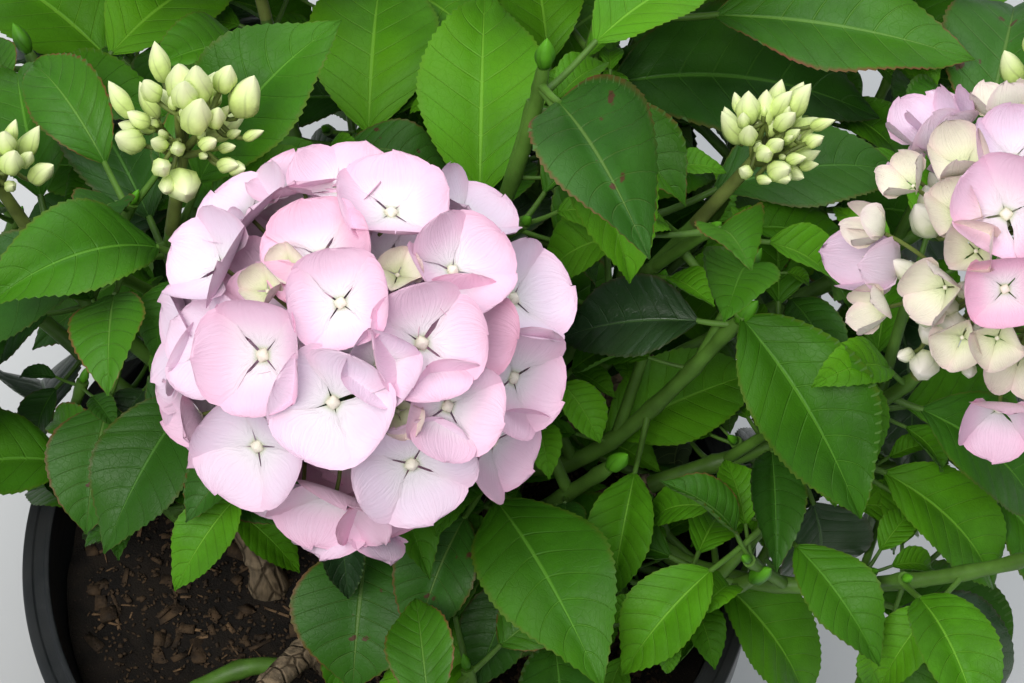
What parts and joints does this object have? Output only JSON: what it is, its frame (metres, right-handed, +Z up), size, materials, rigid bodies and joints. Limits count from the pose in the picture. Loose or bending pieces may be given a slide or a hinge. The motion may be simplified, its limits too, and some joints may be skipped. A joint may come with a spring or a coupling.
{
  "type": "potted hydrangea shrub",
  "caption": "Potted mophead hydrangea shrub: rounded pale pink flower heads, yellow-green bud clusters and broad toothed leaves above a round black nursery pot.",
  "frame": {"origin": "centre of the pot's flat underside, on the surface that it stands on", "axes": "+Z up, -Y towards the side that the picture is taken from, +X to the right in the picture"},
  "size_m": [0.5815, 0.5734, 0.5377],
  "materials": {
    "pot_black": "satin black moulded plastic, dusty and lightly scuffed",
    "compost": "damp peat and shredded bark",
    "cane_bark": "thin ridged tan bark",
    "foliage": "satin green leaf with paler veins",
    "petals": "soft matt pale pink sepals",
    "young_petals": "soft matt cream sepals flushed pink",
    "buds": "soft matt yellow-green buds"
  },
  "bodies": {
    "root": {"pot": "pot_black", "compost": "compost", "cane_front": "cane_bark", "leaves_front": "foliage", "mophead_front": "petals", "cane_left": "cane_bark", "leaves_left": "foliage", "bud_head_left": "buds", "cane_right": "cane_bark", "leaves_right": "foliage", "bud_head_right": "buds", "cane_middle": "cane_bark", "leaves_middle": "foliage", "cane_far_left": "cane_bark", "leaves_far_left": "foliage", "bud_head_far_left": "buds", "cane_side_left": "cane_bark", "leaves_side_left": "foliage", "cane_back_left": "cane_bark", "leaves_back_left": "foliage", "mophead_back_left": "petals", "cane_back": "cane_bark", "leaves_back": "foliage", "mophead_back": "petals", "cane_side_right": "cane_bark", "leaves_side_right": "foliage", "bud_head_side_right": "buds", "cane_half_open": "cane_bark", "leaves_half_open": "foliage", "half_head_half_open": "young_petals", "cane_front_right": "cane_bark", "leaves_front_right": "foliage", "mophead_front_right": "petals", "cane_front_left": "cane_bark", "leaves_front_left": "foliage", "bud_head_front_left": "buds", "leaves_low_middle": "foliage", "leaves_mid_right": "foliage", "leaves_low_right": "foliage", "leaves_outer_right": "foliage", "leaves_low_left": "foliage", "leaves_outer_left": "foliage", "leaves_low_front_left": "foliage", "leaves_low_back_left": "foliage", "leaves_low_back": "foliage", "leaves_back_right": "foliage", "bud_head_back_right": "buds"}
  },
  "joints": []
}
